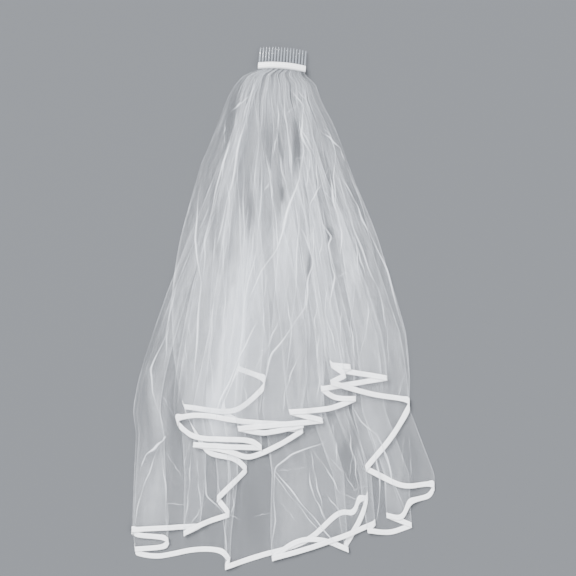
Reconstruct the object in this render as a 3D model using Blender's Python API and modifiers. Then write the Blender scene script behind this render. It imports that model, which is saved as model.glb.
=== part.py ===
"""Bridal veil with ribbon edging on a hair comb, lying flat on a surface.

One long oval of tulle is gathered off its middle onto the comb, which makes a short upper tier and a
long lower tier. Its edge is one closed ring, bound in satin ribbon, that folds to and fro over itself.
Each fold of that ring is a row in the tables below, and a fold line runs from it up to the comb. The
panels between the fold lines lie on each other in the order that the tables give. Units are metres, +Z
up, comb towards +Y.
"""
import math

import bmesh
import bpy
import numpy as np

MM = 0.001

# Cloth
CLOTH_WALL = 1.0 * MM
RIBBON_WIDTH = 8.5 * MM
SEAM_GAP = 0.3 * MM
SEAM_GAP_AT_FOLD = 1.0 * MM
SEAM_GAP_AT_SIDE = 0.5 * MM
LAYER_SPACING_AT_COMB = 1.5 * MM
LAYER_SPACING_AT_HEM = 1.9 * MM
FOLD_RADIUS = 1.0 * MM
PLEAT_HEIGHT = 4.0 * MM
PLEAT_GAP = 2.6 * MM
PLEAT_REACH = 0.05
UPPER_PLEAT_BASE = CLOTH_WALL / 2 + PLEAT_HEIGHT + PLEAT_GAP + 1.7 * MM
PANEL_SEGMENT = 40 * MM
PLEAT_SEGMENT = 1.3 * MM
ROWS = (0.0, 0.015, 0.035, 0.07, 0.13, 0.2, 0.28, 0.37, 0.46, 0.55, 0.64, 0.73, 0.82, 0.91, 1.0)

# Comb and the band wrapped round its spine
COMB_CENTRE = (-4.2 * MM, 385.4 * MM)
COMB_WIDTH = 74.5 * MM
COMB_TURN = math.radians(-4.2)
COMB_ARCH = 6 * MM
COMB_BOW = 2.2 * MM
COMB_THICKNESS = 2 * MM
COMB_HEIGHT = 5.4 * MM
TOOTH_COUNT = 16
TOOTH_WIDTH = 2.2 * MM
TOOTH_LENGTH = 25.5 * MM
TOOTH_DROOP = 2.5 * MM
# How far up each tooth, and how wide it is there
TOOTH_PROFILE = ((0.3, 0.95), (0.65, 0.8), (0.93, 0.62), (1.0, 0.3))
WRAP_WIDTH = 76 * MM
WRAP_HEIGHT = 9.5 * MM
WRAP_WALL = 2.7 * MM
WRAP_CHAMFER = 2 * MM
WRAP_DEPTH = COMB_THICKNESS + 2 * SEAM_GAP + 2 * WRAP_WALL
WRAP_STATIONS = 24
GATHER_WIDTH = 70 * MM
SPINE_BOTTOM = -WRAP_HEIGHT / 2 + WRAP_WALL + 1.5 * SEAM_GAP
SPINE_TOP = WRAP_HEIGHT / 2 - 0.5 * MM
ARCH_REACH = 120 * MM

# Left and right edge of the whole veil at each distance up the surface, in millimetres
OUTLINE = (
    # y, left, right
    (382, -41, 34),
    (370, -67, 41),
    (344, -87, 59),
    (301, -103, 80),
    (234, -129, 104),
    (150, -155, 137),
    (71, -180, 163),
    (-37, -209, 196),
    (-117, -228, 204),
    (-160, -232, 207),
    (-214, -230, 224),
    (-264, -233, 241),
    (-360, -242, 241),
    (-440, -242, 241),
)

# Hem of the lower tier, left end to right end, in millimetres. At a fold the panel turns back; at a bend
# only the edge does. comb and mid place the fold line at the comb and half way down, from 0 at the veil's
# left edge to 1 at its right edge.
LOWER_HEM = (
    # name, turn, x, y, comb, mid
    ("inner_left", "fold", -159, -160, 0.00, 0.00),
    ("step_1", "bend", -127, -227, None, None),
    ("step_2", "bend", -82, -243, None, None),
    ("step_3", "fold", -60, -262, 0.20, 0.33),
    ("step_4", "bend", -98, -300, None, None),
    ("step_5", "bend", -104, -334, None, None),
    ("foot_1", "bend", -127, -346, None, None),
    ("foot_2", "fold", -161, -363, 0.13, 0.15),
    ("foot_3", "fold", -135, -351, 0.33, 0.25),
    ("outer_left_1", "fold", -242, -359, 0.26, 0.01),
    ("outer_left_2", "fold", -185, -376, 0.46, 0.16),
    ("outer_left_3", "fold", -238, -389, 0.39, 0.05),
    ("base_1", "bend", -199, -399, None, None),
    ("base_2", "bend", -143, -389, None, None),
    ("base_3", "bend", -91, -414, None, None),
    ("base_4", "bend", -36, -398, None, None),
    ("base_5", "bend", 30, -373, None, None),
    ("base_6", "bend", 94, -330, None, None),
    ("base_7", "fold", 132, -309, 0.60, 0.70),
    ("right_1", "bend", 124, -339, None, None),
    ("right_2", "bend", 100, -388, None, None),
    ("right_3", "bend", 60, -374, None, None),
    ("right_4", "bend", 22, -376, None, None),
    ("right_5", "fold", -20, -403, 0.53, 0.47),
    ("right_6", "bend", 41, -386, None, None),
    ("right_7", "bend", 100, -365, None, None),
    ("right_8", "bend", 150, -352, None, None),
    ("right_9", "fold", 204, -350, 0.73, 0.87),
    ("right_10", "fold", 163, -334, 0.66, 0.78),
    ("right_11", "bend", 188, -336, None, None),
    ("right_12", "bend", 204, -312, None, None),
    ("right_13", "fold", 239, -290, 0.86, 0.96),
    ("right_14", "bend", 185, -285, None, None),
    ("right_15", "fold", 130, -259, 0.79, 0.80),
    ("right_16", "bend", 169, -213, None, None),
    ("outer_right", "fold", 201, -155, 1.00, 1.00),
)

# Hem of the upper tier, left end to right end, laid down in this order, in millimetres
UPPER_HEM = (
    # name, turn, x, y, comb, mid
    ("inner_left", "fold", -159, -160, 0.00, 0.00),
    ("tuck_1", "bend", -82, -166, None, None),
    ("tuck_2", "fold", -31, -123, 0.17, 0.40),
    ("tuck_3", "fold", -74, -99, 0.10, 0.29),
    ("tuck_4", "fold", 30, -198, 0.27, 0.55),
    ("tuck_5", "bend", -10, -222, None, None),
    ("tuck_6", "bend", -55, -240, None, None),
    ("tuck_7", "bend", -92, -230, None, None),
    ("roll_1", "fold", -146, -220, 0.20, 0.22),
    ("roll_2", "fold", -36, -226, 0.38, 0.42),
    ("roll_3", "bend", -63, -213, None, None),
    ("roll_4", "bend", -135, -209, None, None),
    ("roll_5", "fold", -169, -186, 0.31, 0.13),
    ("roll_6", "bend", -127, -174, None, None),
    ("roll_7", "bend", -55, -184, None, None),
    ("roll_8", "fold", 31, -189, 0.48, 0.60),
    ("front_1", "bend", -31, -201, None, None),
    ("front_2", "fold", -73, -194, 0.41, 0.35),
    ("front_3", "fold", 62, -182, 0.58, 0.66),
    ("front_4", "fold", 9, -168, 0.51, 0.47),
    ("front_5", "bend", 73, -162, None, None),
    ("front_6", "fold", 114, -147, 0.68, 0.74),
    ("cascade_1", "bend", 81, -145, None, None),
    ("cascade_2", "fold", 58, -131, 0.61, 0.60),
    ("cascade_3", "bend", 108, -123, None, None),
    ("cascade_4", "fold", 164, -114, 0.78, 0.85),
    ("cascade_5", "bend", 100, -99, None, None),
    ("cascade_6", "fold", 74, -93, 0.71, 0.64),
    ("cascade_7", "fold", 98, -109, 0.89, 0.72),
    ("cascade_8", "fold", 74, -121, 0.82, 0.66),
    ("cascade_9", "bend", 137, -139, None, None),
    ("outer_right", "fold", 201, -155, 1.00, 1.00),
)

# The panel of each tier that is laid first; the panels to its left follow, then those to its right
FIRST_PANEL_LOWER = "outer_left_3"
FIRST_PANEL_UPPER = "inner_left"

# Pile of layers, measured on a grid of cells between the veil's two edges while the panels are laid down
CELLS_ACROSS = 300
CELL_LENGTH = 2 * MM
PILE_BOTTOM = -450 * MM
PILE_TOP = 400 * MM
PILE_MARGIN = 0.06
EASE_ACROSS = 7
EASE_LENGTH = 6
CLEARANCE = 1.6 * MM
STEEPEST = 1.25
SETTLE_PASSES = 60
SETTLE_SHARE = 0.35
SETTLE_TOLERANCE = 0.02 * MM

COLLECTION_NAME = "Bridal_Veil"


def clear_scene():
    for existing in list(bpy.data.objects):
        bpy.data.objects.remove(existing, do_unlink=True)


def make_material(name, colour, roughness, alpha=1.0):
    material = bpy.data.materials.new(name)
    material.use_nodes = True
    shader = material.node_tree.nodes["Principled BSDF"]
    shader.inputs["Base Color"].default_value = (*colour, 1.0)
    shader.inputs["Roughness"].default_value = roughness
    shader.inputs["Metallic"].default_value = 0.0
    shader.inputs["Alpha"].default_value = alpha
    return material


def outline_at(y):
    """Left and right edge of the veil at this distance up the surface."""
    rows = np.array(OUTLINE[::-1], float) * MM
    return np.interp(y, rows[:, 0], rows[:, 1]), np.interp(y, rows[:, 0], rows[:, 2])


def arch_height(along):
    """Height of the comb above its ends, at this distance from its middle."""
    share = np.clip(along / (WRAP_WIDTH / 2), -1.0, 1.0)
    return COMB_ARCH * (1.0 - share ** 2)


def lift_at(x, y):
    """Rise of the cloth beside the comb, up to the comb's arch."""
    share = np.clip((COMB_CENTRE[1] - y) / ARCH_REACH, 0.0, 1.0)
    return arch_height(x - COMB_CENTRE[0]) * (1 - share ** 2 * (3 - 2 * share))


def comb_point(along, up):
    """Point of the comb's own frame, set down in the veil's frame."""
    up = up + COMB_BOW * (1.0 - (along / (WRAP_WIDTH / 2)) ** 2)
    x = COMB_CENTRE[0] + along * math.cos(COMB_TURN) - up * math.sin(COMB_TURN)
    y = COMB_CENTRE[1] + along * math.sin(COMB_TURN) + up * math.cos(COMB_TURN)
    return x, y


def gather_point(share):
    """Point of the gathered edge, under the comb's wrap."""
    return comb_point((share - 0.5) * GATHER_WIDTH, -WRAP_HEIGHT / 2 - 2 * SEAM_GAP)


def path_point(column, down, side_shift=0.0):
    """Point of a line that runs from the gathered edge, down 0, to the hem, down 1."""
    comb, mid, hem_x, hem_y = column
    start_x, start_y = gather_point(comb)
    y = start_y + (hem_y - start_y) * down
    left, right = outline_at(start_y)
    comb_share = (start_x - left) / (right - left)
    left, right = outline_at(hem_y)
    hem_share = (hem_x - left) / (right - left)
    share = (comb_share * (1 - down) * (1 - 2 * down) + mid * 4 * down * (1 - down)
             + hem_share * down * (2 * down - 1))
    left, right = outline_at(y)
    return left + (right - left) * share + side_shift, y


def hem_curve(points, samples):
    """Smooth curve through the points of one stretch of hem, at even shares of its length."""
    points = np.array(points, float)
    if len(points) == 2:
        dense = points[0] + np.linspace(0, 1, 9)[:, None] * (points[1] - points[0])
    else:
        ends = np.vstack([2 * points[0] - points[1], points, 2 * points[-1] - points[-2]])
        t = np.linspace(0, 1, 9)[:-1, None]
        pieces = []
        for p, q, r, s in zip(ends, ends[1:], ends[2:], ends[3:]):
            pieces.append(0.5 * (2 * q + (r - p) * t + (2 * p - 5 * q + 4 * r - s) * t ** 2
                                 + (3 * q - p - 3 * r + s) * t ** 3))
        dense = np.vstack(pieces + [points[-1:]])
    length = np.concatenate([[0.0], np.cumsum(np.linalg.norm(np.diff(dense, axis=0), axis=1))])
    wanted = np.asarray(samples) * length[-1]
    curve = np.column_stack([np.interp(wanted, length, dense[:, k]) for k in range(2)])
    return curve, length[-1]


def split_panels(hem):
    """Panels between the folds of a hem table, each a dict of its two folds and its hem points."""
    folds = [k for k, row in enumerate(hem) if row[1] == "fold"]
    panels = []
    for first, last in zip(folds, folds[1:]):
        rows = hem[first:last + 1]
        panels.append({
            "name": rows[0][0],
            "points": [(row[2] * MM, row[3] * MM) for row in rows],
            "comb": (rows[0][4], rows[-1][4]),
            "mid": (rows[0][5], rows[-1][5]),
        })
    return panels


def panel_grid(panel):
    """Plan positions of a panel, column by column, with its last row along the hem."""
    _, length = hem_curve(panel["points"], [0, 1])
    comb_width = abs(panel["comb"][1] - panel["comb"][0]) * GATHER_WIDTH - 2 * FOLD_RADIUS
    count = min(round(length / PANEL_SEGMENT), round(comb_width / PLEAT_SEGMENT))
    shares = np.linspace(0, 1, max(1, count) + 2)
    hem, _ = hem_curve(panel["points"], shares)
    direction = 1.0 if hem[-1, 0] > hem[0, 0] else -1.0
    tangents = np.gradient(hem, axis=0)
    grid = np.zeros((len(shares), len(ROWS) + 1, 2))
    for k, share in enumerate(shares):
        comb = panel["comb"][0] * (1 - share) + panel["comb"][1] * share
        mid = panel["mid"][0] * (1 - share) + panel["mid"][1] * share
        column = (comb, mid, hem[k, 0], hem[k, 1])
        shift = 0.0
        if k == 0:
            shift = direction * FOLD_RADIUS
        elif k == len(shares) - 1:
            shift = -direction * FOLD_RADIUS
        along = np.subtract(path_point(column, 1.0), path_point(column, 0.97))
        path_length = np.linalg.norm(along) / 0.03
        tangent = tangents[k] / np.linalg.norm(tangents[k])
        slant = abs(tangent[0] * along[1] - tangent[1] * along[0]) / np.linalg.norm(along)
        if shift:
            slant = 1.0
        inner = 1.0 - RIBBON_WIDTH / max(slant, 0.45) / path_length
        for j, row in enumerate(ROWS):
            grid[k, j] = path_point(column, row * inner, shift)
        grid[k, -1] = path_point(column, 1.0, shift)
    return grid


def grid_triangles(columns, rows):
    """Corner numbers of the two triangles of each face of a grid."""
    corners = []
    for k in range(columns - 1):
        for j in range(rows - 1):
            a, b = k * rows + j, k * rows + j + 1
            c, d = (k + 1) * rows + j + 1, (k + 1) * rows + j
            corners += [(a, b, c), (a, c, d)]
    return np.array(corners)


class Pile:
    """Height of the cloth laid so far, on cells that fan out with the veil from the comb to the hem."""

    def __init__(self):
        self.share = np.linspace(-PILE_MARGIN, 1 + PILE_MARGIN, CELLS_ACROSS)
        self.y = np.arange(PILE_BOTTOM, PILE_TOP, CELL_LENGTH)
        left, right = outline_at(self.y)
        self.x = left + self.share[:, None] * (right - left)
        self.layers = np.zeros(self.x.shape)
        self.top = np.full(self.x.shape, -1.0)
        self.steepness = np.ones(self.x.shape)

    def place(self, plan):
        """Row and column of the cells, as fractions, under points of the plan."""
        left, right = outline_at(plan[:, 1])
        share = (plan[:, 0] - left) / (right - left)
        across = (share + PILE_MARGIN) / (1 + 2 * PILE_MARGIN) * (CELLS_ACROSS - 1)
        along = (plan[:, 1] - PILE_BOTTOM) / CELL_LENGTH
        return across, along

    def height_at(self, plan):
        """Height of a new layer over each point, from the number of layers under it."""
        across, along = self.place(plan)
        i = np.clip(across.astype(int), 0, CELLS_ACROSS - 2)
        j = np.clip(along.astype(int), 0, len(self.y) - 2)
        u = across - i
        v = along - j
        low = self.layers[i, j] * (1 - u) + self.layers[i + 1, j] * u
        high = self.layers[i, j + 1] * (1 - u) + self.layers[i + 1, j + 1] * u
        return CLOTH_WALL / 2 + low * (1 - v) + high * v

    def footprint(self, plan, triangles):
        """Cells under a panel, with the three corners round each and the share of each corner in it."""
        across, along = self.place(plan)
        cells, corners, shares = [], [], []
        for triangle in triangles:
            (x1, y1), (x2, y2), (x3, y3) = plan[triangle]
            area = (x2 - x1) * (y3 - y1) - (x3 - x1) * (y2 - y1)
            i = np.arange(int(across[triangle].min()) - 2, int(across[triangle].max()) + 4)
            j = np.arange(int(along[triangle].min()), int(along[triangle].max()) + 2)
            i, j = np.meshgrid(np.clip(i, 0, CELLS_ACROSS - 1), j, indexing="ij")
            x = self.x[i, j]
            y = self.y[j]
            second = ((x - x1) * (y3 - y1) - (x3 - x1) * (y - y1)) / area
            third = ((x2 - x1) * (y - y1) - (x - x1) * (y2 - y1)) / area
            first = 1 - second - third
            inside = (first > -0.02) & (second > -0.02) & (third > -0.02)
            cells.append(np.column_stack([i[inside], j[inside]]))
            corners.append(np.tile(triangle, (inside.sum(), 1)))
            shares.append(np.column_stack([first[inside], second[inside], third[inside]]))
        return np.vstack(cells), np.vstack(corners), np.vstack(shares)

    def cover(self, cells, heights):
        """Add a panel: one more layer over its cells, easing out round them."""
        covered = np.zeros(self.x.shape)
        covered[cells[:, 0], cells[:, 1]] = 1.0
        for axis, reach in ((0, EASE_ACROSS), (1, EASE_LENGTH)):
            covered = np.max([np.roll(covered, k, axis) for k in range(-reach, reach + 1)], axis=0)
            half = reach // 2
            for _ in range(2):
                covered = np.mean([np.roll(covered, k, axis) for k in range(-half, half + 1)], axis=0)
        self.layers += covered * spacing_at(self.y)
        surface = self.layers + lift_at(self.x, self.y)
        slope = np.gradient(surface, axis=0) / np.gradient(self.x, axis=0)
        self.steepness = np.minimum(np.sqrt(1 + slope ** 2), STEEPEST)
        top = np.full(self.x.shape, -1.0)
        np.maximum.at(top, (cells[:, 0], cells[:, 1]), heights)
        for axis in (0, 1):
            top = np.max([np.roll(top, k, axis) for k in (-1, 0, 1)], axis=0)
        np.maximum(self.top, top, out=self.top)


def spacing_at(y):
    """Height between one layer and the next."""
    share = np.clip((COMB_CENTRE[1] - y) / ARCH_REACH, 0.0, 1.0)
    return LAYER_SPACING_AT_COMB + (LAYER_SPACING_AT_HEM - LAYER_SPACING_AT_COMB) * share


def lay_panel(grid, pile):
    """Heights of a panel's points, over the layers under it and clear of every face of theirs."""
    columns, rows, _ = grid.shape
    plan = grid.reshape(-1, 2)
    cells, corners, shares = pile.footprint(plan, grid_triangles(columns, rows))
    height = pile.height_at(plan)
    spots = (cells[:, 0], cells[:, 1])
    support = pile.top[spots] + CLEARANCE * pile.steepness[spots]
    weight = shares / (shares ** 2).sum(axis=1, keepdims=True)
    for _ in range(SETTLE_PASSES):
        shortfall = support - (shares * height[corners]).sum(axis=1)
        if shortfall.max() < SETTLE_TOLERANCE:
            break
        lift = np.zeros(len(plan))
        short = shortfall > 0
        for corner in range(3):
            np.maximum.at(lift, corners[short, corner], shortfall[short] * weight[short, corner])
        height += SETTLE_SHARE * lift
    pile.cover(cells, (shares * height[corners]).sum(axis=1))
    return height.reshape(columns, rows)


def lay_order(panels, first_name):
    """Order in which the panels go down: the first, those to its left, those to its right, all outward."""
    names = [panel["name"] for panel in panels]
    first = names.index(first_name)
    return [first] + list(range(first - 1, -1, -1)) + list(range(first + 1, len(panels)))


def pleat_heights(number, first, base):
    """Heights of a panel's two ends at the comb, where the pleats stand side by side in a zigzag.

    Panels right of the first lie on their left neighbour, so their right folds are low and their left folds
    high. Left of the first it is the other way round. At each fold the upper panel clears the lower one.
    """
    low, high = base, base + PLEAT_HEIGHT
    runs_right = number % 2 == 0
    if number < first:
        start = low if runs_right else high
        end = (high if runs_right else low) + PLEAT_GAP
    else:
        start = (high if runs_right else low) + PLEAT_GAP
        end = low if runs_right else high
    if number == first:
        start = low
    return start, end


def lay_tier(hem, first_name, base, pile):
    """Points of every panel of a tier, as arrays of columns by rows by x, y and height."""
    panels = split_panels(hem)
    order = lay_order(panels, first_name)
    laid = [None] * len(panels)
    for number in order:
        grid = panel_grid(panels[number])
        height = lay_panel(grid, pile)
        start, end = pleat_heights(number, order[0], base)
        across = (grid[..., 0] - grid[:1, :, 0]) / (grid[-1:, :, 0] - grid[:1, :, 0])
        pleated = start + (end - start) * across
        straight = height[:1] + (height[-1:] - height[:1]) * across
        share = np.clip(np.append(ROWS, 1.0) / PLEAT_REACH, 0.0, 1.0)
        share = share ** 2 * (3 - 2 * share)
        height = straight * (1 - share) + height * share
        laid[number] = np.dstack([grid, pleated * (1 - share) + height * share])
    return laid


def tip_column(before, after, shift):
    """Column at the outside of a fold, half way between the two layers that meet there."""
    tip = (before[-1] + after[0]) / 2
    tip[:, 0] += shift
    return tip


def join_panels(laid):
    """One row of columns across a whole tier, with a rounded turn at every fold."""
    columns = [laid[0]]
    for before, after in zip(laid, laid[1:]):
        outward = 1.0 if before[-1, -1, 0] > before[0, -1, 0] else -1.0
        columns += [tip_column(before, after, outward * FOLD_RADIUS)[None], after]
    return np.vstack(columns)


def cloth_object(name, points, material, collection):
    """Cloth wall over a grid of points: an open surface with its thickness on both sides."""
    columns, rows, _ = points.shape
    faces = grid_triangles(columns, rows).tolist()
    mesh = bpy.data.meshes.new(name)
    mesh.from_pydata([tuple(point) for point in points.reshape(-1, 3)], [], faces)
    mesh.materials.append(material)
    mesh.shade_smooth()
    cloth = bpy.data.objects.new(name, mesh)
    collection.objects.link(cloth)
    thickness = cloth.modifiers.new("Wall", "SOLIDIFY")
    thickness.thickness = CLOTH_WALL
    thickness.offset = 0.0
    return cloth


def cut_hem(points):
    """Tulle above the seam and ribbon below it."""
    tulle = points[:, :-1].copy()
    step = tulle[:, -1] - tulle[:, -2]
    step /= np.linalg.norm(step, axis=1, keepdims=True)
    along = np.gradient(tulle[:, -1], axis=0)
    along /= np.linalg.norm(along, axis=1, keepdims=True)
    inward = (step * along).sum(axis=1, keepdims=True) * along - step
    slant = np.linalg.norm(inward, axis=1, keepdims=True)
    tulle[:, -1] += inward / slant * SEAM_GAP / np.maximum(slant, 0.3)
    hem_steps = np.diff(points[:, -1, :2], axis=0)
    folds = np.flatnonzero((hem_steps[:-1] * hem_steps[1:]).sum(axis=1) < 0) + 1
    for neighbour in (-1, 0, 1):
        tulle[folds + neighbour, -1] -= step[folds + neighbour] * SEAM_GAP_AT_FOLD
    return tulle, points[:, -2:]


def side_turn(below, above, side):
    """Columns that carry the lower tier up round the veil's side, to a seam's gap from the upper tier."""
    step = np.gradient(above[:, :2], axis=0)
    outward = np.column_stack([-step[:, 1], step[:, 0]]) * side
    outward /= np.linalg.norm(outward, axis=1, keepdims=True)
    corner_share = (1 + side) / 2
    along_comb = np.subtract(gather_point(corner_share), gather_point(corner_share - 0.05 * side))
    outward[0] = along_comb / (0.035 * GATHER_WIDTH)
    tip = (below + above) / 2
    tip[:, :2] += outward * 2 * FOLD_RADIUS
    corner = above.copy()
    corner[:, :2] += outward * 1.8 * FOLD_RADIUS
    end = above.copy()
    end[:, :2] += outward * SEAM_GAP_AT_SIDE
    return np.array([tip, corner, end])


def close_sides(lower, upper):
    """Lower tier with a turn at each side that meets the ends of the upper tier."""
    left = side_turn(lower[0], upper[0], -1.0)[::-1]
    right = side_turn(lower[-1], upper[-1], 1.0)
    return np.vstack([left, lower, right])


def bend_to_comb(mesh_data, droop_from):
    """Set flat work, drawn along and up with height as z, onto the comb's bow, arch and turn."""
    for vertex in mesh_data.verts:
        along, up, height = vertex.co
        rise = arch_height(along) + COMB_HEIGHT
        past = max(0.0, (up - droop_from) / TOOTH_LENGTH)
        x, y = comb_point(along, up)
        vertex.co = (x, y, height + rise - TOOTH_DROOP * past ** 2)


def comb_object(material, collection):
    """Flat spine with a row of tapering teeth, given its thickness and the comb's curves."""
    pitch = (COMB_WIDTH - TOOTH_WIDTH) / (TOOTH_COUNT - 1)
    strips = 2 * TOOTH_COUNT - 1
    work = bmesh.new()
    bmesh.ops.create_grid(work, x_segments=strips, y_segments=1, size=0.5)
    columns = sorted({round(vertex.co.x, 6) for vertex in work.verts})
    for vertex in work.verts:
        tooth, side = divmod(columns.index(round(vertex.co.x, 6)), 2)
        vertex.co.x = -COMB_WIDTH / 2 + tooth * pitch + side * TOOTH_WIDTH
        vertex.co.y = SPINE_TOP if vertex.co.y > 0 else SPINE_BOTTOM
    upper_edges = [edge for edge in work.edges if all(vertex.co.y > 0 for vertex in edge.verts)]
    roots = [edge for edge in upper_edges if edge.calc_length() < pitch / 2]
    centres = [sum(vertex.co.x for vertex in edge.verts) / 2 for edge in roots]
    edges = roots
    for share, width in TOOTH_PROFILE:
        grown = bmesh.ops.extrude_edge_only(work, edges=edges)["geom"]
        edges = [item for item in grown if isinstance(item, bmesh.types.BMEdge)]
        for vertex in [item for item in grown if isinstance(item, bmesh.types.BMVert)]:
            centre = min(centres, key=lambda value: abs(value - vertex.co.x))
            side = 1.0 if vertex.co.x > centre else -1.0
            vertex.co.x = centre + side * width * TOOTH_WIDTH / 2
            vertex.co.y = SPINE_TOP + share * TOOTH_LENGTH
    bend_to_comb(work, SPINE_TOP)
    return finish_object("comb", work, COMB_THICKNESS, 0.0, material, collection)


def wrap_object(material, collection):
    """Band folded round the spine from the tulle's side, open towards the teeth."""
    half_height = WRAP_HEIGHT / 2
    half_depth = WRAP_DEPTH / 2
    profile = [(half_height, half_depth), (-half_height + WRAP_CHAMFER, half_depth),
               (-half_height, half_depth - WRAP_CHAMFER)]
    profile += [(up, -height) for up, height in reversed(profile)]
    work = bmesh.new()
    rows = []
    for along in np.linspace(-WRAP_WIDTH / 2, WRAP_WIDTH / 2, WRAP_STATIONS + 1):
        rows.append([work.verts.new((along, up, height)) for up, height in profile])
    for row, following in zip(rows, rows[1:]):
        for k in range(len(profile) - 1):
            work.faces.new((row[k], row[k + 1], following[k + 1], following[k]))
    bend_to_comb(work, SPINE_TOP)
    return finish_object("comb_wrap", work, WRAP_WALL, -1.0, material, collection)


def finish_object(name, work, wall, offset, material, collection):
    """Object with an open surface and the wall that Solidify gives it."""
    bmesh.ops.recalc_face_normals(work, faces=work.faces)
    mesh = bpy.data.meshes.new(name)
    work.to_mesh(mesh)
    work.free()
    mesh.materials.append(material)
    made = bpy.data.objects.new(name, mesh)
    collection.objects.link(made)
    thickness = made.modifiers.new("Wall", "SOLIDIFY")
    thickness.thickness = wall
    thickness.offset = offset
    thickness.use_even_offset = True
    return made


def centre_on_origin(parts, root):
    """Hang the parts on the root so that the middle of their underside is at the origin."""
    bpy.context.view_layer.update()
    graph = bpy.context.evaluated_depsgraph_get()
    corners = np.array([corner for part in parts for corner in part.evaluated_get(graph).bound_box])
    low, high = corners.min(axis=0), corners.max(axis=0)
    for part in parts:
        part.parent = root
        part.location = (-(low[0] + high[0]) / 2, -(low[1] + high[1]) / 2, -low[2])


def main():
    clear_scene()
    collection = bpy.data.collections.new(COLLECTION_NAME)
    bpy.context.scene.collection.children.link(collection)
    tulle_material = make_material("tulle", (0.86, 0.89, 0.94), 0.6, 0.5)
    ribbon_material = make_material("satin_ribbon", (0.93, 0.94, 0.96), 0.35)
    comb_material = make_material("clear_plastic", (0.9, 0.92, 0.94), 0.1, 0.5)

    pile = Pile()
    lower = join_panels(lay_tier(LOWER_HEM, FIRST_PANEL_LOWER, CLOTH_WALL / 2, pile))
    upper = join_panels(lay_tier(UPPER_HEM, FIRST_PANEL_UPPER, UPPER_PLEAT_BASE, pile))
    lower = close_sides(lower, upper)
    parts = []
    for tier, points in (("lower", lower), ("upper", upper)):
        points[..., 2] += lift_at(points[..., 0], points[..., 1])
        tulle, ribbon = cut_hem(points)
        parts.append(cloth_object("tulle_" + tier + "_tier", tulle, tulle_material, collection))
        parts.append(cloth_object("edging_" + tier + "_tier", ribbon, ribbon_material, collection))
    parts.append(comb_object(comb_material, collection))
    parts.append(wrap_object(ribbon_material, collection))
    root = bpy.data.objects.new(COLLECTION_NAME, None)
    collection.objects.link(root)
    centre_on_origin(parts, root)


main()
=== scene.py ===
"""Looks of a bridal veil with ribbon edging on a hair comb, laid flat on a pale floor, seen from above.

Tulle, ribbon, band and comb are thin shells on the form of the part's solids. The tulle's edge is one
ring of folds, with a row for each fold or bend in the two hem tables, and gathers run from the comb
along each panel between folds. Lengths are in metres. Positions in the tables are in millimetres from
the middle of the laid veil's own drawing.
"""

import math

import bmesh
import bpy
import numpy as np
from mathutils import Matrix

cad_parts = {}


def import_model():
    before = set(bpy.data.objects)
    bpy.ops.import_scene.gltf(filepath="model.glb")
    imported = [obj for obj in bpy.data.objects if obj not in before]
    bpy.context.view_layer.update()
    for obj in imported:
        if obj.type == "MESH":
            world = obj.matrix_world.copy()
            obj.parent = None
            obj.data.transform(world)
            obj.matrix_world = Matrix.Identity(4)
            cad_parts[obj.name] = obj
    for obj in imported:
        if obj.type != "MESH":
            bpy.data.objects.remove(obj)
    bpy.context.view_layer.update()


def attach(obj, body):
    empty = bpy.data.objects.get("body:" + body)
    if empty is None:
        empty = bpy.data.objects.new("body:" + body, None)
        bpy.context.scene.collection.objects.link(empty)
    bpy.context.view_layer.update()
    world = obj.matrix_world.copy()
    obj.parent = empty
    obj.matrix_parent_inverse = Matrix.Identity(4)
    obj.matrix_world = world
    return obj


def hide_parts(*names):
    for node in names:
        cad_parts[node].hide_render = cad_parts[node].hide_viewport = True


MM = 0.001
TAU = 2 * math.pi

# The drawing's origin in the frame
DRAWING_X = 2.075 * MM
DRAWING_Y = -3.243 * MM

# Cloth
RIBBON_WIDTH = 8.5 * MM
RIBBON_HALF_THICKNESS = 0.45 * MM
RIBBON_PUCKER = 0.5 * MM
CLOTH_BASE = 0.8 * MM
LAYER_SPACING_AT_COMB = 1.0 * MM
LAYER_SPACING_AT_HEM = 1.7 * MM
FOLD_RADIUS = 1.2 * MM
COLUMN_SPACING = 3.4 * MM
ROW_COUNT = 140
ROW_CROWDING = 1.25
GATHER_REACH = 0.075
CURVE_STEPS = 16
LEAST_SLANT = 0.5
TULLE_TRIM = 0.15
PUCKER_LENGTHS = (17 * MM, 61 * MM)

# Cross-section of the folded ribbon, from its inner edge on top round the hem to its inner edge below
RIBBON_PROFILE = (
    # share of the width, height in half thicknesses
    (0.0, 0.6),
    (0.12, 1.0),
    (0.42, 1.1),
    (0.5, 0.85),
    (0.58, 1.1),
    (0.9, 1.0),
    (1.0, 0.35),
    (1.0, -0.35),
    (0.9, -1.0),
    (0.5, -1.0),
    (0.0, -0.6),
)
HEM_COLUMN = 6

# Comb and band
COMB_CENTRE = (-4.2 * MM, 385.4 * MM)
COMB_WIDTH = 74.5 * MM
COMB_TURN = math.radians(-4.2)
COMB_ARCH = 6 * MM
COMB_BOW = 2.2 * MM
COMB_THICKNESS = 2 * MM
COMB_HEIGHT = 5.4 * MM
SPINE_INSET = 0.5 * MM
SPINE_FOOT = -1.6 * MM
TOOTH_COUNT = 16
TOOTH_WIDTH = 2.2 * MM
TOOTH_LENGTH = 25.5 * MM
TOOTH_DROOP = 2.5 * MM
TOOTH_PROFILE = (
    # share of the length, share of the width
    (0.08, 0.98),
    (0.3, 0.94),
    (0.5, 0.88),
    (0.7, 0.8),
    (0.85, 0.7),
    (0.94, 0.56),
    (0.985, 0.36),
    (1.0, 0.16),
)
WRAP_WIDTH = 76 * MM
WRAP_HEIGHT = 9.5 * MM
WRAP_HALF_DEPTH = 3.9 * MM
WRAP_STATIONS = 96
GATHER_WIDTH = 73 * MM
TIER_OFFSET = 1.2 * MM
ARCH_REACH = 120 * MM

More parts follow.
